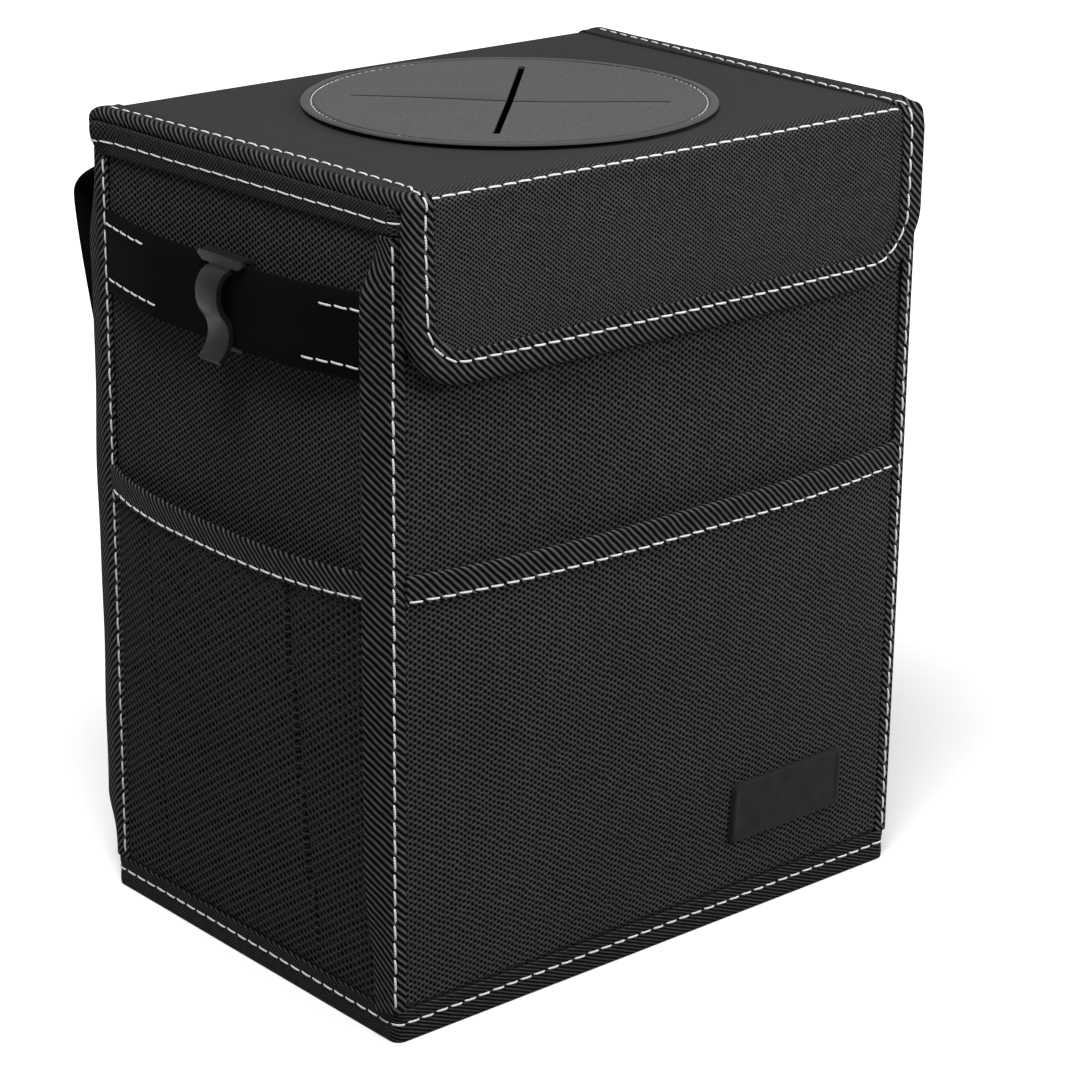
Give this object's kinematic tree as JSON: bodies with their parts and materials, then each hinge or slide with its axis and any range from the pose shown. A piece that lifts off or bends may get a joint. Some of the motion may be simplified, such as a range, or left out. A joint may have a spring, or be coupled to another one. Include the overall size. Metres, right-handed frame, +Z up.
{
  "type": "car trash bin",
  "caption": "Boarded fabric car trash bin with a slit-port lid, front flap, pockets, side straps with bag hooks and buckled back straps.",
  "frame": {"origin": "centre of the bin's base, on the underside of the bottom fabric", "axes": "+Z up, -Y towards the front pocket and the flap, +X to the viewer's right when facing the front"},
  "size_m": [0.2738, 0.21, 0.3013],
  "materials": {
    "oxford": "black coated oxford weave",
    "lid_cloth": "black coated oxford weave, lit from above",
    "tape": "black twill binding tape",
    "mesh_cloth": "black holed mesh",
    "webbing": "smooth black webbing",
    "closure": "black hook and loop",
    "leatherette": "grey leatherette, fine grain",
    "plastic": "black moulded plastic",
    "patch_rubber": "black moulded rubber",
    "board": "dark stiffening board",
    "liner": "dark grey coated liner"
  },
  "bodies": {
    "root": {"base_panel": "oxford", "base_board": "board", "front_panel": "oxford", "back_panel": "oxford", "left_panel": "oxford", "right_panel": "oxford", "front_board": "board", "back_board": "board", "left_board": "board", "right_board": "board", "liner": "liner", "rim_band": "oxford", "base_binding": "tape", "front_left_binding": "tape", "front_right_binding": "tape", "rear_left_binding": "tape", "rear_right_binding": "tape", "front_pocket": "oxford", "front_pocket_binding": "tape", "left_mesh_pocket": "mesh_cloth", "right_mesh_pocket": "mesh_cloth", "left_mesh_binding": "tape", "right_mesh_binding": "tape", "name_patch": "patch_rubber", "left_side_strap": "webbing", "right_side_strap": "webbing", "front_loop_pads": "closure", "hinge_tail": "oxford", "left_back_strap": "webbing", "right_back_strap": "webbing", "left_buckle_socket": "plastic", "right_buckle_socket": "plastic", "left_lower_strap": "webbing", "right_lower_strap": "webbing"},
    "lid": {"lid_panel": "lid_cloth", "lid_board": "board", "lid_lining": "liner", "lid_binding": "tape", "lid_hinge_bead": "lid_cloth", "port_disc": "leatherette"},
    "flap": {"flap_panel": "oxford", "flap_binding": "tape", "flap_fold_bead": "lid_cloth", "flap_hook_pads": "closure"},
    "left_hook": {"left_bag_hook": "plastic"},
    "right_hook": {"right_bag_hook": "plastic"},
    "left_plug": {"left_buckle_plug": "plastic"},
    "right_plug": {"right_buckle_plug": "plastic"}
  },
  "joints": [
    {"name": "lid_hinge", "type": "hinge", "parent": "root", "child": "lid", "pos_m": [0, 0.088, 0.29515], "axis": [-1, 0, 0], "range_deg": [0, 200]},
    {"name": "flap_hinge", "type": "hinge", "parent": "lid", "child": "flap", "pos_m": [0, -0.0899, 0.3003], "axis": [-1, 0, 0], "range_deg": [0, 240]},
    {"name": "left_hook_slide", "type": "slide", "parent": "root", "child": "left_hook", "axis": [0, 1, 0], "range_m": [-0.017, 0.023]},
    {"name": "right_hook_slide", "type": "slide", "parent": "root", "child": "right_hook", "axis": [0, 1, 0], "range_m": [-0.017, 0.023]},
    {"name": "left_buckle_release", "type": "slide", "parent": "root", "child": "left_plug", "axis": [0, 0, -1], "range_m": [0, 0.022], "deforming": ["left_lower_strap"]},
    {"name": "right_buckle_release", "type": "slide", "parent": "root", "child": "right_plug", "axis": [0, 0, -1], "range_m": [0, 0.022], "deforming": ["right_lower_strap"]}
  ]
}
